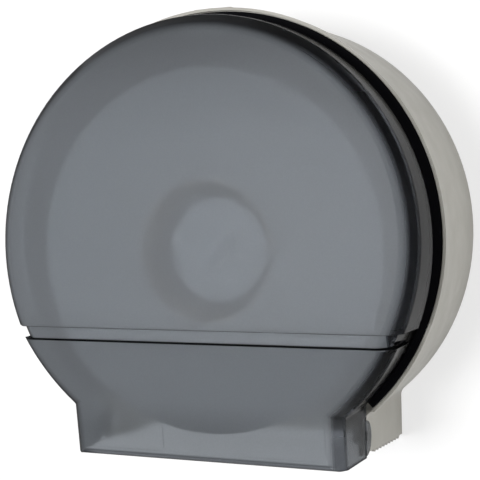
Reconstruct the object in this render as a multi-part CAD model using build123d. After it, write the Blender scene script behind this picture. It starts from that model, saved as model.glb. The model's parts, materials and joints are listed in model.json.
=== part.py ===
"""Jumbo toilet roll dispenser, wall mounted, with a hinged see-through cover.

Frame: origin on the wall plane at the centre of the round body, which is also the
centre of the wall screw pattern. +X right, +Y into the wall, +Z up. Millimetres.
Depths are measured forward from the wall, so a depth d lies at Y = -d.
"""
from build123d import *
from math import cos, pi, radians, sin, sqrt, tan
import os

# ---- roll: the driving sizes -----------------------------------------------------
roll_r = 114.5
roll_width = 89.0
core_bore_r = 43.0
core_wall = 1.4
roll_rear = 25.0             # depth of the roll's rear end
roll_z = -6.5
core_fit = 0.2               # gap between the hub's fins and the core

# ---- whole dispenser, sized round the roll ---------------------------------------
front_room = 21.0            # from the roll's front end to the cover's face
side_room = 29.8             # from the roll's edge to the outside of the round body
face_depth = roll_rear + roll_width + front_room     # of the cover's face at the roll's height
body_r_front = roll_r + side_room      # outside radius where the rim band begins

# ---- rear housing ----------------------------------------------------------------
body_draft = 0.7             # the round body is this much larger at the wall
neck_half_front = 89.9       # outside half width of the neck at its front edge
neck_draft = 3.5             # the neck is this much wider to each side at the wall
neck_bottom = -141.4         # lower edge of the housing at the wall
neck_rise = 4.0              # degrees that this edge rises towards the front
housing_wall = 2.4
back_wall = 3.0
rim_step = 1.6               # the rim band stands this far out of the body
rim_wall = 1.8
rim_front = face_depth - 42.4         # depth of the rim band's front edge
rim_width = 10.0             # width of the band in depth
rim_ledge = rim_front - 3.0            # depth of the ledge that the cover's edge meets
rim_end_z = -106.5           # the band stops here, where the body meets the neck
neck_blend_r = 7.0           # rounding in the corner between the round body and the neck
rib_count = 8                # stiffening ribs on the back plate
rib_wall = 2.0
rib_height = 4.0
rib_start = 46.0
rib_end = 124.0

# ---- tear teeth along both neck walls --------------------------------------------
tooth_pitch = 6.5
tooth_height = 2.0
tooth_count = 9
tooth_first_depth = 61.0     # depth of the foremost tooth

# ---- cover -----------------------------------------------------------------------
cover_wall = 2.2
crease_inset = 5.7           # the sharp crease lies this far inside the round body's outside
crease_back = 9.0            # and this far behind the cover's front face
cover_rear = rim_ledge + 1.0           # depth of the cover's rear edge
rear_step = 2.5              # the round part's rear edge is set in by this much
rear_step_depth = rim_front + 12.5     # and this far forward
side_draft = 5.6             # degrees that the side wall opens towards the rear
bevel_angle = 38.0           # degrees between the corner band and the depth axis
face_lean = 2.4              # degrees that the face leans back above the groove
neck_lean = 5.9              # degrees that the face falls back below it
corner_r = 8.0               # rounding between the face and the corner band
crease_round = 3.6           # rounding of the crease between that band and the side
crease_neck_half = neck_half_front + 1.1
cover_blend_r = 3.0          # rounding in the corner between the round part and the neck
cover_bottom = neck_bottom + 5.6
bottom_corner_r = 6.0
bottom_lip = 6.0             # depth of the lip that turns in along the lower edge
groove_top = -52.8
groove_height = 8.3
groove_depth = 3.2
pad_height = 33.6            # thicker pads inside the neck's face
pad_width = 54.0
pad_gap = 52.0
pad_thickness = 0.8

# ---- hinge -----------------------------------------------------------------------
hinge_depth = rim_ledge - 5.0
hinge_z = cover_bottom + 12.3
ear_r = 11.0                 # the ear is a half disc behind the cover's edge
ear_depth = cover_rear + 0.4
line_width = 1.8             # slot between the ear and the cover's side
line_depth = 0.8
ear_wall = 1.9
ear_outer_x = neck_half_front + 4.3
hinge_pin_r = 3.0
hinge_fit = 0.05             # radial clearance of the pins in the ears
pin_head_r = 5.5
pin_head_height = 2.0
pin_blind = 0.7              # ear wall left over the pin's end
pin_boss_r = 5.5
face_gap = 0.3               # gap between faces that turn past each other

# ---- hub and spindle -------------------------------------------------------------
post_r = 11.0
post_flange_r = 36.0
post_flange = 4.0
post_front = face_depth - 45.0        # depth of the post's front end
post_wall = 3.0
nose_r = 6.0                 # the post's nose, which the retaining washer seats on
hub_fit = 0.06               # radial clearance of the hub on the post
hub_tube_r = 15.0
hub_disc_r = 33.0
hub_disc = 2.5
hub_front = post_front + 3.0           # depth of the hub disc's front face
hub_flange_r = 58.0
hub_flange = 2.5
fin_count = 6
fin_wall = 2.4
fin_lead = 12.0
thrust_washer_wall = 1.5
thrust_washer_r = 20.0
screw_circle_r = 26.0
spindle_screw_r = 2.2
spindle_screw_length = 6.5
small_head_r = 4.2
small_head = 2.4
recess_r = 9.5
recess_depth = 8.0
hub_screw_r = 2.2
hub_screw_length = 16.0
retaining_washer_r = 9.0
retaining_washer_wall = 1.2
cap_r = 10.8
cap_spigot_r = 9.3
cap_spigot = 1.5
cap_wall = 1.8

# ---- lock ------------------------------------------------------------------------
lock_depth = rim_front - 20.0          # depth of the lock's axis
lock_r = 6.0
lock_flange_r = 9.0
lock_flange = 1.0
lock_length = 15.3           # sleeve below the flange
lock_seat_r = 9.5            # inside face that the nut seats on
lock_fit = 0.05
plug_r = 4.2
nut_flats = 13.6
nut_height = 4.0
cam_length = 14.5
cam_width = 7.0
cam_wall = 2.4
cam_screw_r = 1.5
cam_screw_head_r = 3.0
cam_screw_head = 1.6
cam_screw_bite = 5.0
key_slot_width = 1.6
key_slot_depth = 4.0
hood_half = 13.0             # half width of the flat pad around the lock
hood_rise = 0.1              # its top above the rim band
hood_rear = lock_depth - 14.0
hood_front = rim_front - 1.7

# ---- keeper on the cover ---------------------------------------------------------
keeper_half = 16.5
keeper_front = face_depth - 26.0
keeper_length = 15.0
keeper_height = 8.0
keeper_wall = 1.8
arm_x = 9.2                  # near side of the arm, measured from the lock's axis
arm_width = 5.0
arm_wall = 2.2
lug_height = 10.5
lug_wall = 4.0
lug_gap = 1.2                # play between the turned lever and the lug
keeper_boss_r = 3.2
keeper_boss_x = 11.0
keeper_screw_r = 1.4
keeper_head_r = 2.6
keeper_head = 1.6
keeper_screw_bite = 2.4      # length of the screw above the keeper's top face

# ---- wall fixing -----------------------------------------------------------------
wall_hole_r = 2.8
wall_hole_x = 152.0          # hole spacing across
wall_hole_z = 127.0          # hole spacing up
wall_boss_r = 8.0
wall_boss_height = 3.0


# ---- worked out from the sizes above ---------------------------------------------
body_r_wall = body_r_front + body_draft
neck_half_wall = neck_half_front + neck_draft
rim_r = body_r_front + rim_step              # outside radius of the rim band
crease_r = body_r_front - crease_inset       # radius of the sharp crease around the front
crease_depth = face_depth - crease_back
bend_z = groove_top - groove_height          # the cover's form bends along the groove's lower edge
bend_crease = crease_depth - bend_z * tan(radians(face_lean))
front_depth = face_depth - bend_z * tan(radians(face_lean))     # the foremost line of the cover
bottom_depth = front_depth - (bend_z - cover_bottom) * tan(radians(neck_lean))
neck_step = crease_r - crease_neck_half      # the neck has the round part's edge, this far in
hood_top = rim_r + hood_rise
lock_seat_z = body_r_front - housing_wall - 2.4
lock_end_z = hood_top - lock_length
keeper_top_z = crease_r - rear_step - cover_wall - 0.2
ear_inner_x = ear_outer_x - ear_wall
ear_boss_x = ear_inner_x - 1.1
pin_boss_x = ear_boss_x - face_gap
pin_seat_x = neck_half_front - housing_wall - 1.7
hub_rear = back_wall + post_flange + thrust_washer_wall
nose_front = post_front - 1.0
nose_root = nose_front - 4.0
fin_r = core_bore_r - core_fit


# ---- helpers: everything is placed by depth, x and z -----------------------------
def block(x0, x1, d0, d1, z0, z1):
    """A box between two sides, two depths and two heights."""
    centre = ((x0 + x1) / 2, -(d0 + d1) / 2, (z0 + z1) / 2)
    return Location(centre) * Box(x1 - x0, d1 - d0, z1 - z0)


def disc(r, d0, d1, x=0.0, z=0.0):
    """A cylinder whose axis points out of the wall."""
    return Location((x, -(d0 + d1) / 2, z), (90, 0, 0)) * Cylinder(r, d1 - d0)


def upright(r, z0, z1, x=0.0, depth=0.0):
    """A cylinder that stands upright."""
    return Location((x, -depth, (z0 + z1) / 2)) * Cylinder(r, z1 - z0)


def crosswise(r, x0, x1, depth, z):
    """A cylinder whose axis runs left to right."""
    return Location(((x0 + x1) / 2, -depth, z), (0, 90, 0)) * Cylinder(r, x1 - x0)


def turned(points, x=0.0, z=0.0):
    """A solid turned from (radius, depth) points about an axis out of the wall."""
    outline = make_face(Polyline([(r, -d) for r, d in points], close=True))
    return Location((x, 0, z)) * revolve(outline, Axis.Y)


def mirrored(shape):
    """The same shape on the other side of the middle plane."""
    return mirror(shape, Plane.YZ)


def slab(z0, z1):
    """All of the dispenser between two heights."""
    return block(-200, 200, -10, 200, z0, z1)


# ---- cover -----------------------------------------------------------------------
def cover_edge(inset, rear):
    """The cover's edge as (radius, depth) corners: face, crease, rear; inset from outside."""
    slope, draft = radians(bevel_angle), radians(side_draft)

    def bevel_r(depth):
        return crease_r - (depth - crease_depth) * tan(slope) - inset / cos(slope)

    def side_r(depth):
        return crease_r + (crease_depth - depth) * tan(draft) - inset / cos(draft)

    face = face_depth - inset
    shift = inset * (1 / cos(slope) - 1 / cos(draft)) / (tan(slope) - tan(draft))
    crease = crease_depth - shift
    return [(bevel_r(face), face), (side_r(crease), crease), (side_r(rear), rear)]


def edge_section(inset, rear, step, mirrored_too):
    """Half or whole cross-section inside the cover's edge, moved in by step."""
    corners = [(r - step, -d) for r, d in cover_edge(inset, rear)]
    if mirrored_too:
        points = corners + [(-x, y) for x, y in reversed(corners)]
    else:
        points = [(0, corners[0][1])] + corners + [(0, corners[-1][1])]
    section = make_face(Polyline(points, close=True))
    front = [v for v in section.vertices() if abs(v.Y - corners[0][1]) < 0.01 and abs(v.X) > 1]
    section = fillet(front, corner_r - inset)
    if inset > 0.0:
        return section
    crease = [v for v in section.vertices() if abs(v.Y - corners[1][1]) < 0.01 and abs(v.X) > 1]
    return fillet(crease, crease_round)


def cover_neck(inset, bottom):
    """The neck down to a level, with the same edge as the round body."""
    section = Plane.XY.offset(bottom) * edge_section(inset, 0.0, neck_step, True)
    return extrude(section, -bottom)


def leaned_back(shape):
    """Turned so that the face leans back towards its top, about the crease's level line."""
    return shape.rotate(Axis((0, -crease_depth, 0), (1, 0, 0)), -face_lean)


def fallen_back(shape):
    """Turned so that the face falls back towards the lower edge, about the bend."""
    level = Location((0, crease_depth - bend_crease, 0)) * shape
    return level.rotate(Axis((0, -bend_crease, bend_z), (1, 0, 0)), neck_lean)


def lower_profile(inset, rear, top):
    """The side view below a level: the falling face, the rounding and the level lower edge."""
    slope, low = tan(radians(neck_lean)), cover_bottom + inset
    face = front_depth - inset / cos(radians(neck_lean))
    corners = [(face - (bend_z - low) * slope, low), (rear, low), (rear, top),
               (face - (bend_z - top) * slope, top)]
    section = make_face(Polyline([Vector(0, -d, z) for d, z in corners], close=True))
    front_low = section.vertices().sort_by(Axis.Z)[:2].sort_by(Axis.Y)[0]
    section = fillet(front_low, bottom_corner_r - inset)
    return extrude(section, 200, dir=(1, 0, 0), both=True)


def neck_corners(form):
    """The edges in the two corners between the round body and the neck, behind the face."""
    corner_z = -sqrt(crease_r**2 - crease_neck_half**2)
    return [e for e in form.edges() if abs(e.center().Z - corner_z) < 8.0
            and abs(abs(e.center().X) - crease_neck_half) < 10.0 and -e.center().Y < face_depth - 0.1]


def blended_half(body, neck):
    """The right half of the round body and the neck, blended along the corner's long edge."""
    right = block(0, 200, -200, 200, -200, 200)
    half = (body & right) + (neck & right)
    return fillet(max(neck_corners(half), key=lambda edge: edge.length), cover_blend_r)


def blended_form(body, neck):
    """The round body and the neck, blended in both corners at once, or else one half and its mirror image."""
    whole = body + neck
    try:
        return fillet(neck_corners(whole), cover_blend_r)
    except ValueError:
        half = blended_half(body, neck)
        return half + mirrored(half)


def cover_form(inset, rear, bend):
    """The round body and the neck as one solid, inset from outside and bent at a level."""
    body = revolve(edge_section(inset, 0.0, 0.0, False), Axis.Y)
    neck = cover_neck(inset, neck_bottom - 10.0)
    form = blended_form(body, neck) if inset == 0.0 else body + neck
    upper = leaned_back(form) & block(-200, 200, rear, 200, bend, 200)
    return upper + (fallen_back(form) & lower_profile(inset, rear, bend))


def set_in_ring(inset):
    """What the cover's form lacks behind the step in the round part's side."""
    ring_r = crease_r + (crease_depth - rear_step_depth) * tan(radians(side_draft)) - rear_step - inset
    ring = turned([(ring_r, 50), (180, 50), (180, crease_depth), (ring_r, crease_depth)])
    return leaned_back(ring) & block(-200, 200, 60, rear_step_depth + inset, rim_end_z + 4.0, 200)


def grooved_form(inset, rear):
    """The cover's form with the groove across its front and sides."""
    band = slab(bend_z - inset, groove_top + inset)
    bend = bend_z - inset
    deep = cover_form(inset + groove_depth, rear, bend) & band
    return (cover_form(inset, rear, bend) - band) + deep - set_in_ring(inset)


def outlet():
    """The opening below the roll, between the neck's sides and behind the lower lip."""
    room = fallen_back(cover_neck(cover_wall, neck_bottom - 10.0))
    return room & block(-200, 200, 0, bottom_depth - bottom_lip, -200, bend_z - 42.0)


def face_pads():
    """The two thicker pads inside the neck's face, with their rounded corners."""
    inner_face = face_depth - cover_wall
    low = cover_bottom + bottom_corner_r
    pad = block(pad_gap / 2, pad_gap / 2 + pad_width, inner_face - pad_thickness, inner_face + 0.5,
                low, low + pad_height)
    pad = fallen_back(fillet(pad.edges().filter_by(Axis.Y), 3.0))
    return pad + mirrored(pad)


def ear():
    """The right ear: a half disc behind the cover's edge, with a boss and the pin's blind hole."""
    plate = crosswise(ear_r, ear_inner_x, ear_outer_x, ear_depth, hinge_z)
    plate &= block(0, 200, 0, ear_depth + 1.6, -200, 200)
    plate += crosswise(pin_head_r, ear_boss_x, ear_inner_x + 0.1, hinge_depth, hinge_z)
    bore = crosswise(hinge_pin_r + hinge_fit, 0, ear_outer_x - pin_blind, hinge_depth, hinge_z)
    return plate - bore


def ear_line():
    """The narrow slot that sets the right ear off from the cover's side."""
    return block(ear_outer_x - line_depth, ear_outer_x + 5.0, ear_depth - 0.2, ear_depth + line_width - 0.2,
                 hinge_z - ear_r - 1.0, hinge_z + ear_r)


def keeper_boss(x):
    """A boss on the cover's top wall, faced where the keeper seats, with its screw hole."""
    depth = keeper_front - keeper_length / 2
    boss = upright(keeper_boss_r, keeper_top_z, crease_r - 0.5, x, depth)
    return boss, upright(keeper_screw_r, 0, keeper_top_z + keeper_screw_bite, x, depth)


def front_cover():
    shell = grooved_form(0.0, cover_rear) - grooved_form(cover_wall, cover_rear - 5.0)
    shell = shell - outlet() + face_pads()
    shell += ear() + mirrored(ear())
    shell -= ear_line() + mirrored(ear_line())
    for x in (-keeper_boss_x, keeper_boss_x):
        boss, hole = keeper_boss(x)
        shell = shell + boss - hole
    return shell


# ---- rear housing ----------------------------------------------------------------
def neck_half(depth):
    """Outside half width of the housing's neck at a depth."""
    return neck_half_wall - (neck_half_wall - neck_half_front) * depth / rim_ledge


def housing_form(inset, back, front, bottom):
    """Round body and neck as one solid, inset from the housing's outside."""
    taper = (body_r_wall - body_r_front) / rim_ledge
    radii = [body_r_wall - taper * d - inset for d in (back, front)]
    body = turned([(0, back), (radii[0], back), (radii[1], front), (0, front)])
    halves = [neck_half(d) - inset for d in (back, front)]
    corners = [(-halves[0], -back), (halves[0], -back), (halves[1], -front), (-halves[1], -front)]
    section = make_face(Polyline(corners, close=True))
    form = (body & slab(bottom, 200)) + extrude(Plane.XY.offset(bottom) * section, -bottom)
    corner_z = -sqrt(body_r_wall**2 - neck_half_wall**2)
    corners = [e for e in form.edges() if abs(e.center().Z - corner_z) < 8.0
               and abs(abs(e.center().X) - neck_half_wall) < 6.0 and e.length > (front - back) * 0.9]
    return fillet(corners, neck_blend_r + inset)


def rim_band():
    """The stepped-out band around the body's front edge, with the ledge for the cover."""
    inner = body_r_front - housing_wall
    ledge_back = rim_ledge - housing_wall
    wall_r = body_r_front - housing_wall / 2
    ring = turned([(inner, ledge_back), (wall_r, ledge_back), (wall_r, rim_front - rim_width),
                   (rim_r, rim_front - rim_width), (rim_r, rim_front), (rim_r - rim_wall, rim_front),
                   (rim_r - rim_wall, rim_ledge), (inner, rim_ledge)])
    return ring & slab(rim_end_z, 200)


def tooth_gaps():
    """What is cut away under the neck walls so that the tear teeth stand free."""
    low = neck_bottom - tooth_height
    cut = block(-120, 120, -20, face_depth, low - 15, neck_bottom)
    for i in range(tooth_count):
        depth = tooth_first_depth - i * tooth_pitch
        half = tooth_pitch / 2 - 0.2
        profile = [(-depth - half, neck_bottom + 0.1), (-depth + half, neck_bottom + 0.1), (-depth, low)]
        tooth = make_face(Polyline([Vector(0, y, z) for y, z in profile], close=True))
        cut -= extrude(tooth, 120, dir=(1, 0, 0), both=True)
    return cut.rotate(Axis((0, 0, neck_bottom), (1, 0, 0)), -neck_rise)


def back_ribs():
    """Low stiffening ribs that radiate over the back plate between the spindle and the wall."""
    ribs = []
    for i in range(rib_count):
        angle = 360 / rib_count * (i + 0.5)
        rib = block(rib_start, rib_end, back_wall - 0.2, back_wall + rib_height, -rib_wall / 2, rib_wall / 2)
        ribs.append(Rotation(0, angle, 0) * rib)
    return ribs


def wall_points():
    """Centres of the four wall screw holes."""
    return [(i * wall_hole_x / 2, j * wall_hole_z / 2) for i in (-1, 1) for j in (-1, 1)]


def spindle_points():
    """Centres of the four screws in the spindle's flange."""
    reach = screw_circle_r * cos(pi / 4)
    return [(i * reach, roll_z + j * reach) for i in (-1, 1) for j in (-1, 1)]


def lock_hood():
    """The flat pad on top around the lock, faced inside where the nut seats."""
    pad = block(-hood_half, hood_half, hood_rear, hood_front, body_r_front - housing_wall, hood_top)
    pad = fillet(pad.edges().filter_by(Axis.Z), 2.0)
    pad -= disc(rim_r - rim_wall, rim_ledge, face_depth)
    return pad + upright(lock_seat_r, lock_seat_z, hood_top, 0, lock_depth)


def rear_housing():
    low = neck_bottom - tooth_height
    shell = housing_form(0.0, 0.0, rim_ledge, low)
    shell -= housing_form(housing_wall, back_wall, rim_ledge + 1.0, low - 5)
    shell = shell + rim_band() + lock_hood()
    for rib in back_ribs():
        shell += rib
    for x, z in wall_points():
        shell += disc(wall_boss_r, back_wall - 0.2, back_wall + wall_boss_height, x, z)
        shell -= disc(wall_hole_r, -1, back_wall + wall_boss_height + 1, x, z)
    for x, z in spindle_points():
        shell -= disc(spindle_screw_r, back_wall + post_flange - spindle_screw_length, 20, x, z)
    for side in (-1, 1):
        x = sorted((side * pin_seat_x, side * pin_boss_x))
        shell += crosswise(pin_boss_r, x[0], x[1], hinge_depth, hinge_z)
    shell -= crosswise(hinge_pin_r, -ear_outer_x, ear_outer_x, hinge_depth, hinge_z)
    shell -= upright(lock_r, lock_seat_z - 1, hood_top + 1, 0, lock_depth)
    return shell - tooth_gaps()


def hinge_pin():
    """The right pin: head inside the neck wall, end in the ear's blind hole."""
    tip = ear_outer_x - pin_blind - face_gap
    pin = crosswise(hinge_pin_r, pin_seat_x, tip, hinge_depth, hinge_z)
    return pin + crosswise(pin_head_r, pin_seat_x - pin_head_height, pin_seat_x, hinge_depth, hinge_z)


# ---- spindle and hub -------------------------------------------------------------
def spindle_post():
    flange = back_wall + post_flange
    post = turned([(0, back_wall), (post_flange_r, back_wall), (post_flange_r, flange),
                   (post_r, flange), (post_r, nose_root), (nose_r, nose_root),
                   (nose_r, nose_front), (0, nose_front)], 0, roll_z)
    post -= disc(post_r - post_wall, back_wall - 1, nose_root - 2 * recess_depth, 0, roll_z)
    post -= disc(hub_screw_r, nose_front - hub_screw_length, nose_front + 1, 0, roll_z)
    for x, z in spindle_points():
        post -= disc(spindle_screw_r, back_wall - 1, flange + 1, x, z)
    return post


def screw(r, length, seat, x, z):
    """A pan-head screw that points into the wall, with its head on a face at depth seat."""
    shank = disc(r, seat - length, seat, x, z)
    return shank + turned([(0, seat), (small_head_r, seat), (small_head_r, seat + small_head * 0.45),
                           (small_head_r * 0.6, seat + small_head), (0, seat + small_head)], x, z)


def spindle_screws():
    seat = back_wall + post_flange
    return [screw(spindle_screw_r, spindle_screw_length, seat, x, z) for x, z in spindle_points()]


def thrust_washer():
    seat = back_wall + post_flange
    ring = disc(thrust_washer_r, seat, hub_rear, 0, roll_z)
    return ring - disc(post_r + hub_fit, seat - 1, hub_rear + 1, 0, roll_z)


def hub_fin(angle):
    """One fin that centres the roll's core, with a lead-in towards the front."""
    root = hub_tube_r - 0.5
    points = [(root, roll_rear - 0.5), (fin_r, roll_rear - 0.5), (fin_r, hub_front - fin_lead),
              (hub_disc_r, hub_front - 0.5), (root, hub_front - 0.5)]
    face = make_face(Polyline([(r, -d) for r, d in points], close=True))
    fin = extrude(face, fin_wall / 2, both=True)
    return Location((0, 0, roll_z)) * Rotation(0, angle, 0) * fin


def roll_hub():
    shell = turned([(0, hub_rear), (hub_tube_r, hub_rear), (hub_tube_r, roll_rear - hub_flange),
                    (hub_flange_r, roll_rear - hub_flange), (hub_flange_r, roll_rear),
                    (hub_tube_r, roll_rear), (hub_tube_r, hub_front - hub_disc),
                    (hub_disc_r, hub_front - hub_disc), (hub_disc_r, hub_front), (0, hub_front)],
                   0, roll_z)
    for i in range(fin_count):
        shell += hub_fin(360 / fin_count * i)
    shell -= disc(post_r + hub_fit, hub_rear - 1, nose_root + face_gap, 0, roll_z)
    shell -= disc(nose_r + face_gap, nose_root - 1, hub_front + 1, 0, roll_z)
    return shell - disc(recess_r, nose_front - face_gap, hub_front + 1, 0, roll_z)


def retaining_washer():
    ring = disc(retaining_washer_r, nose_front, nose_front + retaining_washer_wall, 0, roll_z)
    return ring - disc(hub_screw_r, nose_front - 1, nose_front + 5, 0, roll_z)


def hub_screw():
    seat = nose_front + retaining_washer_wall
    return screw(hub_screw_r, hub_screw_length + retaining_washer_wall - 1, seat, 0, roll_z)


def hub_cap():
    """The plug over the screw recess: a domed disc on a short spigot ring."""
    front = hub_front + cap_wall
    spigot_rear = hub_front - cap_spigot
    return turned([(0, hub_front), (cap_spigot_r - 1.5, hub_front), (cap_spigot_r - 1.5, spigot_rear),
                   (cap_spigot_r, spigot_rear), (cap_spigot_r, hub_front), (cap_r, hub_front),
                   (cap_r, front - 0.8), (cap_r - 1.2, front), (0, front)], 0, roll_z)


def ring_of(r_in, r_out):
    """A tube as long as the roll, on the roll's axis."""
    front = roll_rear + roll_width
    return turned([(r_in, roll_rear), (r_out, roll_rear), (r_out, front), (r_in, front)], 0, roll_z)


# ---- lock ------------------------------------------------------------------------
def lock_body():
    sleeve = upright(lock_r, lock_end_z, hood_top, 0, lock_depth)
    flange = upright(lock_flange_r, hood_top, hood_top + lock_flange, 0, lock_depth)
    flange = chamfer(flange.edges().group_by(Axis.Z)[-1], 0.6)
    return sleeve + flange - upright(plug_r + lock_fit, 0, hood_top + 5, 0, lock_depth)


def lock_plug():
    plug = upright(plug_r, lock_end_z - face_gap, hood_top + lock_flange, 0, lock_depth)
    half = plug_r * 0.7
    slot = block(-key_slot_width / 2, key_slot_width / 2, lock_depth - half, lock_depth + half,
                 hood_top + lock_flange - key_slot_depth, hood_top + 5)
    return plug - slot - upright(cam_screw_r, 0, lock_end_z + cam_screw_bite, 0, lock_depth)


def lock_nut():
    bottom = lock_seat_z - nut_height
    hexagon = Plane.XY.offset(bottom) * RegularPolygon(nut_flats / 2, 6, major_radius=False)
    nut = Location((0, -lock_depth, 0)) * extrude(hexagon, nut_height)
    return nut - upright(lock_r, 0, 200, 0, lock_depth)


def lock_cam():
    top = lock_end_z - face_gap
    tip = lock_depth + cam_length - cam_width / 2
    lever = upright(cam_width / 2 + 1.5, top - cam_wall, top, 0, lock_depth)
    lever += block(-cam_width / 2, cam_width / 2, lock_depth, tip, top - cam_wall, top)
    lever += upright(cam_width / 2, top - cam_wall, top, 0, tip)
    return lever - upright(cam_screw_r, 0, 200, 0, lock_depth)


def cam_screw():
    seat = lock_end_z - face_gap - cam_wall
    shank = upright(cam_screw_r, seat, lock_end_z + cam_screw_bite - 0.5, 0, lock_depth)
    return shank + upright(cam_screw_head_r, seat - cam_screw_head, seat, 0, lock_depth)


# ---- keeper on the cover ---------------------------------------------------------
def cover_keeper():
    """The keeper block, its arm past the lock and the lug that the lever catches."""
    rear = keeper_front - keeper_length
    bottom = keeper_top_z - keeper_height
    shell = block(-keeper_half, keeper_half, rear, keeper_front, bottom, keeper_top_z)
    shell = fillet(shell.edges().filter_by(Axis.Z).group_by(Axis.Y)[0], 2.5)
    inner = keeper_half - keeper_wall
    shell -= block(-inner, inner, rear - 1, keeper_front - keeper_wall, bottom - 1,
                   keeper_top_z - keeper_wall)
    lug_front = lock_depth - cam_width / 2 - lug_gap
    lug_rear = lug_front - lug_wall
    arm = block(arm_x, arm_x + arm_width, lug_rear, rear + 3, keeper_top_z - arm_wall, keeper_top_z)
    lug = block(arm_x, arm_x + arm_width, lug_rear, lug_front, keeper_top_z - lug_height, keeper_top_z)
    for x in (-keeper_boss_x, keeper_boss_x):
        shell -= upright(keeper_screw_r, 0, 200, x, keeper_front - keeper_length / 2)
    return shell + arm + lug


def keeper_screws():
    seat = keeper_top_z - keeper_wall
    depth = keeper_front - keeper_length / 2
    screws = []
    for x in (-keeper_boss_x, keeper_boss_x):
        shank = upright(keeper_screw_r, seat, keeper_top_z + keeper_screw_bite - 0.3, x, depth)
        screws.append(shank + upright(keeper_head_r, seat - keeper_head, seat, x, depth))
    return screws


# ---- the whole dispenser ---------------------------------------------------------
def all_parts():
    """Every piece by its node's name."""
    core_r = core_bore_r + core_wall
    return {
        "rear_housing": rear_housing(),
        "front_cover": front_cover(),
        "hinge_pin_right": hinge_pin(),
        "hinge_pin_left": mirrored(hinge_pin()),
        "spindle_post": spindle_post(),
        "spindle_screws": spindle_screws(),
        "thrust_washer": thrust_washer(),
        "roll_hub": roll_hub(),
        "retaining_washer": retaining_washer(),
        "hub_screw": hub_screw(),
        "hub_cap": hub_cap(),
        "roll_core": ring_of(core_bore_r, core_r),
        "paper_roll": ring_of(core_r, roll_r),
        "lock_body": lock_body(),
        "lock_plug": lock_plug(),
        "lock_nut": lock_nut(),
        "lock_cam": lock_cam(),
        "cam_screw": cam_screw(),
        "cover_keeper": cover_keeper(),
        "keeper_screws": keeper_screws(),
    }


def export_all():
    os.makedirs("parts", exist_ok=True)
    for name, shape in all_parts().items():
        if isinstance(shape, list):
            shape = Compound(children=shape)
        export_step(shape, f"parts/{name}.step")


export_all()
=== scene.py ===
"""Jumbo toilet roll dispenser on a white wall: its materials, one more edge, the room and the camera.

Metres, in the model's frame: origin on the wall plane at the centre of the round body,
+X right, +Y into the wall, +Z up. The camera stands where the photograph was taken from.
"""
import json
import math

import bpy
from mathutils import Matrix, Vector


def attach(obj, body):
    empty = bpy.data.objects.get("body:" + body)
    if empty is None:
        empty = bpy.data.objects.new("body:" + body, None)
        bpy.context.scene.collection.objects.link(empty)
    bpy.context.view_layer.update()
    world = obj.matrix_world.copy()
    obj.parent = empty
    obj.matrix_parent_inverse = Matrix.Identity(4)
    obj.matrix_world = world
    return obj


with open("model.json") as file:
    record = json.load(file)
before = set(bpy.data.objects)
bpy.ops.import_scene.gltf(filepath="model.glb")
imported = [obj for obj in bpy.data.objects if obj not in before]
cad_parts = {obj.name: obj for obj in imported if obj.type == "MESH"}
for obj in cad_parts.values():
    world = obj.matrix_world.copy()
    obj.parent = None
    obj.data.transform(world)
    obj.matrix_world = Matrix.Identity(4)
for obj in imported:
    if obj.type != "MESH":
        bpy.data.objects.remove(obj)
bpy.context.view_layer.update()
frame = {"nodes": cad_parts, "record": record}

# ---- node trees ------------------------------------------------------------------
NOISE_MIDDLE = (0.3, 0.7)      # nearly all of a noise texture's values lie between these
BAND_EDGE = 0.00015            # half the width of a band's soft edge
FAR = 1.0                      # beyond the object along any axis
MIX_COLOURS = (6, 7)           # the colour sockets of a mix node, which share names with its others
MIX_RESULT = 2


def linear(r, g, b):
    """A colour given as 0-255 screen values, as shader values."""
    values = [c / 255 for c in (r, g, b)]
    return tuple(c / 12.92 if c <= 0.04045 else ((c + 0.055) / 1.055) ** 2.4 for c in values) + (1.0,)


def scaled(colour, factor):
    """The colour made lighter or darker, up to white."""
    return tuple(min(1.0, c * factor) for c in colour[:3]) + (1.0,)


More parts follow.
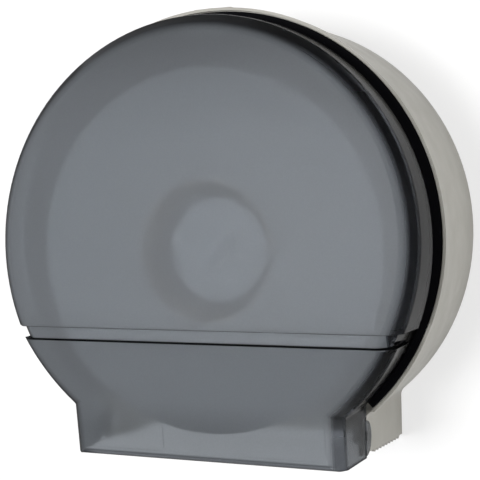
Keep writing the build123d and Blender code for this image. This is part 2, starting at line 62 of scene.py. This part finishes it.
class Finish:
    """One material's node tree, built up step by step; its methods take and give sockets."""

    def __init__(self, name):
        self.material = bpy.data.materials.new(name)
        self.material.use_nodes = True
        self.tree = self.material.node_tree
        self.tree.nodes.clear()
        self.output = self.tree.nodes.new("ShaderNodeOutputMaterial")
        self.shader = self.add("ShaderNodeBsdfPrincipled")
        self.join(self.shader.outputs["BSDF"], self.output.inputs["Surface"])
        self.coords = self.add("ShaderNodeTexCoord").outputs["Object"]

    def add(self, kind, **values):
        """A node; values are its settings, or its inputs where it has one of that name."""
        node = self.tree.nodes.new(kind)
        for key, value in values.items():
            label = key.replace("_", " ")
            if label in node.inputs:
                node.inputs[label].default_value = value
            else:
                setattr(node, key, value)
        return node

    def join(self, source, target):
        self.tree.links.new(source, target)

    def set(self, **values):
        """Constants on the main shader's sockets."""
        for key, value in values.items():
            self.shader.inputs[key.replace("_", " ")].default_value = value

    def colour(self, socket):
        self.join(socket, self.shader.inputs["Base Color"])

    def roughness(self, socket):
        self.join(socket, self.shader.inputs["Roughness"])

    def transmission(self, socket):
        self.join(socket, self.shader.inputs["Transmission Weight"])

    def bump(self, height, distance, strength):
        """Adds a bump under any earlier one."""
        bump = self.add("ShaderNodeBump", Distance=distance, Strength=strength)
        self.join(height, bump.inputs["Height"])
        normal = self.shader.inputs["Normal"]
        if normal.is_linked:
            self.join(normal.links[0].from_socket, bump.inputs["Normal"])
        self.join(bump.outputs["Normal"], normal)

    def split(self, vector):
        """The vector's x, y and z."""
        parts = self.add("ShaderNodeSeparateXYZ")
        self.join(vector, parts.inputs["Vector"])
        return parts.outputs["X"], parts.outputs["Y"], parts.outputs["Z"]

    def position(self):
        """x, y and z in object space."""
        return self.split(self.coords)

    def facing(self):
        """How squarely the surface faces the room or the wall: 0 side-on, 1 square on."""
        normal = self.add("ShaderNodeTexCoord").outputs["Normal"]
        return self.math("ABSOLUTE", self.split(normal)[1])

    def radius(self, centre_z):
        """Distance from an axis out of the wall at a height."""
        x, _, z = self.position()
        rise = self.math("SUBTRACT", z, centre_z)
        squares = self.math("ADD", self.product(x, x), self.product(rise, rise))
        return self.math("SQRT", squares)

    def noise(self, scale, detail=3.0, roughness=0.5):
        """A noise texture in object space."""
        texture = self.add("ShaderNodeTexNoise", Scale=scale, Detail=detail, Roughness=roughness)
        self.join(self.coords, texture.inputs["Vector"])
        return texture.outputs["Fac"]

    def line_noise(self, source, scale):
        """Noise along one value."""
        texture = self.add("ShaderNodeTexNoise", noise_dimensions="1D", Scale=scale, Detail=2.0)
        self.join(source, texture.inputs["W"])
        return texture.outputs["Fac"]

    def math(self, operation, a, b=None):
        """An operation on sockets or numbers."""
        node = self.add("ShaderNodeMath", operation=operation)
        for socket, value in zip(node.inputs, (a, b)):
            if isinstance(value, (int, float)):
                socket.default_value = value
            elif value is not None:
                self.join(value, socket)
        return node.outputs["Value"]

    def product(self, first, *others):
        for other in others:
            first = self.math("MULTIPLY", first, other)
        return first

    def largest(self, first, *others):
        for other in others:
            first = self.math("MAXIMUM", first, other)
        return first

    def map(self, source, low, high, to_low, to_high):
        """source from low..high to to_low..to_high, clamped."""
        node = self.add("ShaderNodeMapRange")
        for name, value in zip(("From Min", "From Max", "To Min", "To Max"), (low, high, to_low, to_high)):
            node.inputs[name].default_value = value
        self.join(source, node.inputs["Value"])
        return node.outputs["Result"]

    def rise(self, source, low, high, most=1.0):
        """0 where source is under low, most where it is over high."""
        return self.map(source, low, high, 0.0, most)

    def fall(self, source, low, high, most=1.0):
        """most where source is under low, 0 where it is over high."""
        return self.map(source, low, high, most, 0.0)

    def band(self, source, low, high):
        """1 where source lies between low and high, with soft edges."""
        return self.product(self.rise(source, low - BAND_EDGE, low + BAND_EDGE),
                            self.fall(source, high - BAND_EDGE, high + BAND_EDGE))

    def vary(self, noise, least, most):
        """The noise spread over least..most."""
        return self.map(noise, *NOISE_MIDDLE, least, most)

    def ramp(self, source, stops):
        """A colour ramp over source; stops are (position, colour or grey)."""
        ramp = self.add("ShaderNodeValToRGB")
        elements = ramp.color_ramp.elements
        while len(elements) < len(stops):
            elements.new(0.5)
        for element, (position, colour) in zip(elements, stops):
            element.position = position
            element.color = colour if isinstance(colour, tuple) else (colour, colour, colour, 1.0)
        self.join(source, ramp.inputs["Fac"])
        return ramp.outputs["Color"]

    def between(self, noise, first, second):
        """A colour that the noise moves between first and second."""
        return self.ramp(noise, list(zip(NOISE_MIDDLE, (first, second))))

    def blend_colours(self, share, first, second):
        """first where share is 0, second where it is 1; second is a colour."""
        mix = self.add("ShaderNodeMix", data_type="RGBA")
        self.join(share, mix.inputs["Factor"])
        self.join(first, mix.inputs[MIX_COLOURS[0]])
        mix.inputs[MIX_COLOURS[1]].default_value = second
        return mix.outputs[MIX_RESULT]

    def blend_shaders(self, share, first, second):
        """first where share is 0, second where it is 1."""
        mix = self.add("ShaderNodeMixShader")
        for socket, value in zip(mix.inputs, (share, first, second)):
            self.join(value, socket)
        return mix.outputs["Shader"]


# ---- plain plastics and metals ---------------------------------------------------
# scales of the noise
PLASTIC_DRIFT = 9.0
PLASTIC_PATCHES = 60.0
PLASTIC_GRAIN = 2600.0
METAL_PATCHES = 150.0
TOOL_MARKS = 900.0
# and what it does
DRIFT_SHARE = 0.04             # how far the tone drifts, as a share of the colour
PLASTIC_GLOSS = 0.05           # how far the roughness goes down and up in patches
METAL_GLOSS = (0.06, 0.08)
GRAIN_HEIGHT = 0.00003
MARK_HEIGHT = 0.00002
MARK_TONE = 0.82               # the metal's tone in its tool marks, as a share of the colour


def moulded(name, colour, roughness):
    """Plain moulded plastic: faint tone drift, fine grain and uneven gloss."""
    f = Finish(name)
    drift = f.noise(PLASTIC_DRIFT, detail=4.0)
    f.colour(f.between(drift, scaled(colour, 1 - DRIFT_SHARE), scaled(colour, 1 + DRIFT_SHARE)))
    patches = f.noise(PLASTIC_PATCHES)
    f.roughness(f.vary(patches, roughness - PLASTIC_GLOSS, roughness + PLASTIC_GLOSS))
    f.bump(f.noise(PLASTIC_GRAIN, detail=2.0), GRAIN_HEIGHT, strength=0.5)
    return f


def metal(name, colour, roughness):
    """Plated steel with fine, even tool marks."""
    f = Finish(name)
    f.set(Metallic=1.0)
    marks = f.noise(TOOL_MARKS, roughness=0.6)
    f.colour(f.between(marks, scaled(colour, MARK_TONE), colour))
    patches = f.noise(METAL_PATCHES)
    f.roughness(f.vary(patches, roughness - METAL_GLOSS[0], roughness + METAL_GLOSS[1]))
    f.bump(marks, MARK_HEIGHT, strength=0.4)
    return f


# ---- the smoked cover ------------------------------------------------------------
# where its features are
SET_IN_DEPTH = 0.1051          # its side is set in behind this depth
SET_IN_END_Z = -0.1025         # and above this height
EAR_SLOT_DEPTH = (0.0908, 0.0926)
EAR_SLOT_X = 0.0928
EAR_SLOT_TOP_Z = -0.11
GROOVE_Z = (-0.0611, -0.0528)
GROOVE_HALF = 0.119
GROOVE_MARGIN = 0.001
LOW_LINE_Z = (GROOVE_Z[0] - 0.0002, GROOVE_Z[0] + 0.0007)      # the painted shade lines along the groove's edges
HIGH_LINE_Z = (GROOVE_Z[1] - 0.0004, GROOVE_Z[1] + 0.0003)
FOOT_TOP_Z = -0.1346

# its painted shades and its frosting by place: from, to and the most
LIP_FROST = (-0.116, -0.101, 0.5)
BEVEL_LEFT = (-0.08, -0.05, 0.75)
BEVEL_LOW = (-0.122, -0.100, 0.5)
BEVEL_TOP = (0.04, 0.12, 0.6)
SET_IN_SHADE = 0.4
FOOT_SHADE = 0.6
HIGH_LINE_SHADE = 0.85

# what it looks like on a surface that faces the room squarely (1) or is side-on (0)
SIDE_FACING = 0.35
CORNER_FACING = 0.55
FROST_FACING = (0.585, 0.96)
BEVEL_START_FACING = (0.35, 0.5)
BEVEL_END_FACING = (0.72, 0.985)
SIDE_TINT = (0.06, 0.06, 0.065, 1.0)
CORNER_TINT = (0.27, 0.29, 0.34, 1.0)
FACE_TINT = (0.408, 0.438, 0.472, 1.0)
BLACK = (0.0, 0.0, 0.0, 1.0)
# near-black for painted shade on the cover's edges, gaps and groove lines, and for its rear flange
PAINTED_SHADE_BLACK = (0.004, 0.004, 0.005, 1.0)

# painted shade and light by height, from the lip up to the top: darker at the lip, the lower face and the
# top, lighter in the groove
PAINTED_SHADE_SPAN_Z = (-0.14, 0.14)
PAINTED_SHADE_BY_HEIGHT = (
    (-0.11788, 0.38), (-0.098, 0.2), (-0.0616, 0.2),
    (-0.06048, 0.06), (-0.05264, 0.06), (-0.05194, 0.11),
    (0.0588, 0.11), (0.0952, 0.18), (0.1288, 0.36))
SPECKLE = 1100.0
SPECKLE_MIDDLE = (0.35, 0.65)
SPECKLE_DEPTH = 0.05

SMOKE_IOR = 1.12
CLEAR_TRANSMISSION = 1.0
FROSTED_TRANSMISSION = 0.765
CLEAR_ROUGHNESS = 0.16
FROSTED_ROUGHNESS = 0.34
EDGE_ROUGHNESS = 0.8
FROST_GRAIN = 1500.0
FROST_HEIGHT = 0.00002


def cover_frost(f, facing, across, z):
    """1 where the cover is frosted: on its face and in its groove, and half on its lip."""
    groove = f.product(f.band(z, GROOVE_Z[0] - GROOVE_MARGIN, GROOVE_Z[1] + GROOVE_MARGIN),
                       f.band(across, -FAR, GROOVE_HALF))
    return f.largest(f.rise(facing, *FROST_FACING), groove, f.fall(z, *LIP_FROST))


def bevel_shade(f, facing, x, z):
    """The bevel's line of painted shade, along the left side, the lip and the top."""
    turned = f.product(f.rise(facing, *BEVEL_START_FACING), f.fall(facing, *BEVEL_END_FACING))
    place = f.largest(f.fall(x, *BEVEL_LEFT), f.fall(z, *BEVEL_LOW), f.rise(z, *BEVEL_TOP))
    return f.product(turned, place)


def edge_shade(f, facing, across, x, y, z):
    """1 where painted shade makes an edge, a gap or a groove line of the cover black."""
    set_in = f.product(f.band(y, -SET_IN_DEPTH, FAR), f.band(z, SET_IN_END_Z, FAR))
    near, far = EAR_SLOT_DEPTH
    slot = f.product(f.band(y, -far, -near), f.band(z, -FAR, EAR_SLOT_TOP_Z),
                     f.band(across, EAR_SLOT_X, FAR))
    foot = f.band(z, -FAR, FOOT_TOP_Z)
    low_line = f.band(z, *LOW_LINE_Z)
    high_line = f.band(z, *HIGH_LINE_Z)
    return f.largest(f.product(set_in, SET_IN_SHADE), slot, bevel_shade(f, facing, x, z),
                     f.product(foot, FOOT_SHADE), low_line, f.product(high_line, HIGH_LINE_SHADE))


def painted_shade_and_speckle(f, z):
    """Painted shade and light on the tint by height, with a fine speckle."""
    low, high = PAINTED_SHADE_SPAN_Z
    stops = [((height - low) / (high - low), dark) for height, dark in PAINTED_SHADE_BY_HEIGHT]
    speckle = f.rise(f.noise(SPECKLE, detail=2.0), *SPECKLE_MIDDLE, SPECKLE_DEPTH)
    return f.math("ADD", f.ramp(f.rise(z, low, high), stops), speckle)


def smoked():
    """The see-through cover: frosted where it faces the room, polished and darker round it, with painted
    shade by height and on its edges, gaps and groove lines.
    """
    f = Finish("cover_smoke")
    f.set(IOR=SMOKE_IOR)
    x, y, z = f.position()
    facing = f.facing()
    across = f.math("ABSOLUTE", x)
    frost = cover_frost(f, facing, across, z)
    shade = edge_shade(f, facing, across, x, y, z)
    polished = f.ramp(facing, [(SIDE_FACING, SIDE_TINT), (CORNER_FACING, CORNER_TINT)])
    # the tint is darkened by painted shade by height, then blackened by the painted shade of the edges,
    # gaps and groove lines
    tint_with_painted_shade = f.blend_colours(painted_shade_and_speckle(f, z), f.blend_colours(frost, polished, FACE_TINT), BLACK)
    f.colour(f.blend_colours(shade, tint_with_painted_shade, PAINTED_SHADE_BLACK))
    f.transmission(f.map(frost, 0.0, 1.0, CLEAR_TRANSMISSION, FROSTED_TRANSMISSION))
    gloss = f.map(frost, 0.0, 1.0, CLEAR_ROUGHNESS, FROSTED_ROUGHNESS)
    f.roughness(f.largest(gloss, f.product(shade, EDGE_ROUGHNESS)))
    f.bump(f.product(f.noise(FROST_GRAIN), frost), FROST_HEIGHT, strength=0.6)
    return f


# ---- paper and board -------------------------------------------------------------
ROLL_Z = -0.0065               # the roll's axis
ROLL_END_FACING = (0.7, 0.9)
PAPER_LIGHT = linear(228, 227, 223)
PAPER_DARK = linear(212, 210, 204)
PAPER_RINGS = 2400.0
PAPER_RING_HEIGHT = 0.0004
PAPER_FIBRES = 1400.0
PAPER_FIBRE_HEIGHT = 0.00012
BOARD_LIGHT = linear(194, 175, 152)
BOARD_DARK = linear(178, 158, 134)
BOARD_SEAM = linear(150, 132, 108)
BOARD_FIBRES = 700.0
BOARD_FIBRE_HEIGHT = 0.00008
STRIP_WIDTH = 0.062            # how far the board's strip moves along the tube in one turn
SEAM_HALF = 0.012              # half the seam, as a share of the strip
SEAM_DEPTH = 0.0003


def rolled_paper():
    """Soft white paper: fine winding rings on the roll's ends, fibres everywhere."""
    f = Finish("paper")
    ends = f.rise(f.facing(), *ROLL_END_FACING)
    rings = f.line_noise(f.radius(ROLL_Z), PAPER_RINGS)
    tone = f.product(f.vary(rings, 0.0, 1.0), ends)
    f.colour(f.ramp(tone, [(0.0, PAPER_LIGHT), (1.0, PAPER_DARK)]))
    f.set(Roughness=0.95, Specular_IOR_Level=0.2)
    f.bump(f.noise(PAPER_FIBRES, detail=4.0, roughness=0.6), PAPER_FIBRE_HEIGHT, strength=0.5)
    f.bump(f.product(rings, ends), PAPER_RING_HEIGHT, strength=0.7)
    return f


def wound_board():
    """Grey-brown board with the seam of its spiral winding."""
    f = Finish("cardboard")
    x, y, z = f.position()
    angle = f.math("ARCTAN2", x, f.math("SUBTRACT", z, ROLL_Z))
    turns = f.math("ADD", f.math("DIVIDE", angle, math.tau), f.math("DIVIDE", y, STRIP_WIDTH))
    from_seam = f.math("ABSOLUTE", f.math("SUBTRACT", f.math("FRACT", turns), 0.5))
    seam = f.fall(from_seam, 0.0, SEAM_HALF)
    fibres = f.noise(BOARD_FIBRES, detail=4.0, roughness=0.6)
    f.colour(f.blend_colours(seam, f.between(fibres, BOARD_DARK, BOARD_LIGHT), BOARD_SEAM))
    f.set(Roughness=0.9, Specular_IOR_Level=0.25)
    f.bump(fibres, BOARD_FIBRE_HEIGHT, strength=0.5)
    f.bump(seam, -SEAM_DEPTH, strength=0.8)
    return f


# ---- a finish for each node ------------------------------------------------------
FINISHES = {
    "housing_grey": moulded("housing_grey", linear(146, 143.5, 135), 0.42),
    "keeper_grey": moulded("keeper_grey", linear(190, 188, 180), 0.4),
    "spindle_grey": moulded("spindle_grey", linear(165, 165, 160), 0.45),
    "hub_grey": moulded("hub_grey", linear(238, 238, 236), 0.4),
    "nylon": moulded("nylon", linear(228, 225, 214), 0.35),
    "lock_metal": metal("lock_metal", (0.72, 0.72, 0.73, 1.0), 0.16),
    "steel": metal("steel", (0.55, 0.55, 0.56, 1.0), 0.3),
    "cover_smoke": smoked(),
    "paper": rolled_paper(),
    "cardboard": wound_board(),
}


def dress_nodes():
    """Gives every node the finish of its slot in the record."""
    for part in frame["record"]["subparts"]:
        piece = frame["nodes"][part["node"]]
        piece.data.materials.clear()
        piece.data.materials.append(FINISHES[part["material_slot"]].material)


# ---- the rear flange of the cover ------------------------------------------------
FLANGE_R = (0.1369, 0.1434)    # from the cover's set-in wall to just inside the rim of the housing
FLANGE_DEPTH = (0.0907, 0.0921)
FLANGE_END_Z = -0.1040
FLANGE_STEPS = 180
FLANGE_SECTION = ((0, 0), (1, 0), (1, 1), (0, 1))      # which radius and which depth, round the section
FLANGE_ROUGHNESS = 0.7
FLANGE_IOR = 1.08


def flange_ring(angle):
    """The corners of the flange's section at an angle round the body."""
    return [(FLANGE_R[r] * math.cos(angle), -FLANGE_DEPTH[d], FLANGE_R[r] * math.sin(angle))
            for r, d in FLANGE_SECTION]


def flange_mesh():
    """A bar bent round the body, from one lower end over the top to the other."""
    end = math.asin(FLANGE_END_Z / FLANGE_R[1])
    corners = len(FLANGE_SECTION)
    points, faces = [], []
    for step in range(FLANGE_STEPS + 1):
        points += flange_ring(end + (math.pi - 2 * end) * step / FLANGE_STEPS)
    for step in range(FLANGE_STEPS):
        for corner in range(corners):
            first = corners * step + corner
            second = corners * step + (corner + 1) % corners
            faces.append((first, first + corners, second + corners, second))
    first_end = tuple(range(corners))
    last_end = tuple(corners * FLANGE_STEPS + corner for corner in reversed(first_end))
    mesh = bpy.data.meshes.new("cover_rear_flange")
    mesh.from_pydata(points, [], faces + [first_end, last_end])
    return mesh


def rear_flange():
    """The dark edge that closes the joint between cover and housing: a near-black ring, painted shade for
    the shadowed gap there.
    """
    mesh = flange_mesh()
    # near-black: painted shade for the shadowed gap between cover and housing
    edge = moulded("cover_edge", PAINTED_SHADE_BLACK, FLANGE_ROUGHNESS)
    edge.set(IOR=FLANGE_IOR)
    mesh.materials.append(edge.material)
    piece = bpy.data.objects.new("cover_rear_flange", mesh)
    bpy.context.scene.collection.objects.link(piece)
    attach(piece, "cover")


# ---- the room --------------------------------------------------------------------
WALL_HALF = 2.5
WALL_Y = 0.0006
WALL_PAINT = (0.93, 0.93, 0.93, 1.0)
WALL_SHARE = 0.62              # how much of the wall's white is there without any light
WHITE = (1.0, 1.0, 1.0, 1.0)
ROOM_LIGHT = (0.0, 0.7)        # from straight below, from straight above
LAMP_TARGET = (0, -0.06, 0)
LAMPS = {                      # place, size across and up, watts
    "key": ((-0.6, -2.4, 0.05), (0.8, 0.7), 52),
    "fill": ((1.6, -1.2, -0.3), (1.2, 1.6), 14),
}


def wall_white():
    """A white that keeps the dispenser's shadow; clear from behind, so the back can be seen."""
    f = Finish("wall_white")
    f.set(Base_Color=WALL_PAINT, Roughness=0.9)
    path = f.add("ShaderNodeLightPath")
    seen = f.largest(path.outputs["Is Camera Ray"], path.outputs["Is Glossy Ray"])
    glow = f.add("ShaderNodeEmission", Color=WHITE, Strength=1.0).outputs["Emission"]
    clear = f.add("ShaderNodeBsdfTransparent").outputs["BSDF"]
    behind = f.add("ShaderNodeNewGeometry").outputs["Backfacing"]
    front = f.blend_shaders(f.product(seen, WALL_SHARE), f.shader.outputs["BSDF"], glow)
    f.join(f.blend_shaders(behind, front, clear), f.output.inputs["Surface"])
    return f.material


def wall():
    corners = [(x * WALL_HALF, WALL_Y, z * WALL_HALF) for x, z in ((-1, -1), (1, -1), (1, 1), (-1, 1))]
    mesh = bpy.data.meshes.new("wall")
    mesh.from_pydata(corners, [], [(0, 1, 2, 3)])
    mesh.materials.append(wall_white())
    sheet = bpy.data.objects.new("wall", mesh)
    bpy.context.scene.collection.objects.link(sheet)


def soft_lamp(name, place, size, watts):
    """A rectangular lamp that points at the dispenser."""
    data = bpy.data.lights.new(name, "AREA")
    data.shape = "RECTANGLE"
    data.size, data.size_y = size
    data.energy = watts
    lamp = bpy.data.objects.new(name, data)
    lamp.location = place
    lamp.rotation_euler = (Vector(LAMP_TARGET) - Vector(place)).to_track_quat("-Z", "Y").to_euler()
    bpy.context.scene.collection.objects.link(lamp)


def room_light():
    """White to the eye; its light is stronger from above than from below."""
    world = bpy.data.worlds.new("room")
    bpy.context.scene.world = world
    world.use_nodes = True
    nodes, links = world.node_tree.nodes, world.node_tree.links
    place, split = nodes.new("ShaderNodeTexCoord"), nodes.new("ShaderNodeSeparateXYZ")
    light = nodes.new("ShaderNodeMapRange")
    for name, value in zip(("From Min", "From Max", "To Min", "To Max"), (-1.0, 1.0) + ROOM_LIGHT):
        light.inputs[name].default_value = value
    path, most = nodes.new("ShaderNodeLightPath"), nodes.new("ShaderNodeMath")
    most.operation = "MAXIMUM"
    links.new(place.outputs["Generated"], split.inputs["Vector"])
    links.new(split.outputs["Z"], light.inputs["Value"])
    links.new(light.outputs["Result"], most.inputs[0])
    links.new(path.outputs["Is Camera Ray"], most.inputs[1])
    links.new(most.outputs["Value"], nodes["Background"].inputs["Strength"])
    nodes["Background"].inputs["Color"].default_value = WHITE


# ---- the camera ------------------------------------------------------------------
CAMERA_PLACE = (0.2800, -0.7356, 0.0388)
CAMERA_RIGHT = (0.92471, 0.37939, -0.03075)
CAMERA_UP = (0.00688, 0.06424, 0.99791)
CAMERA_BACK = (0.38061, -0.92299, 0.05678)
LENS = 82.5
SENSOR = 36.0
NEAREST = 0.01


def camera():
    data = bpy.data.cameras.new("camera")
    data.lens, data.sensor_width, data.sensor_fit = LENS, SENSOR, "HORIZONTAL"
    data.clip_start = NEAREST
    eye = bpy.data.objects.new("camera", data)
    columns = Matrix((CAMERA_RIGHT, CAMERA_UP, CAMERA_BACK)).transposed()
    eye.matrix_world = Matrix.Translation(CAMERA_PLACE) @ columns.to_4x4()
    bpy.context.scene.collection.objects.link(eye)
    bpy.context.scene.camera = eye


# ---- the whole scene -------------------------------------------------------------
dress_nodes()
rear_flange()
wall()
room_light()
for lamp_name, settings in LAMPS.items():
    soft_lamp(lamp_name, *settings)
camera()
bpy.context.scene.view_settings.view_transform = "Standard"
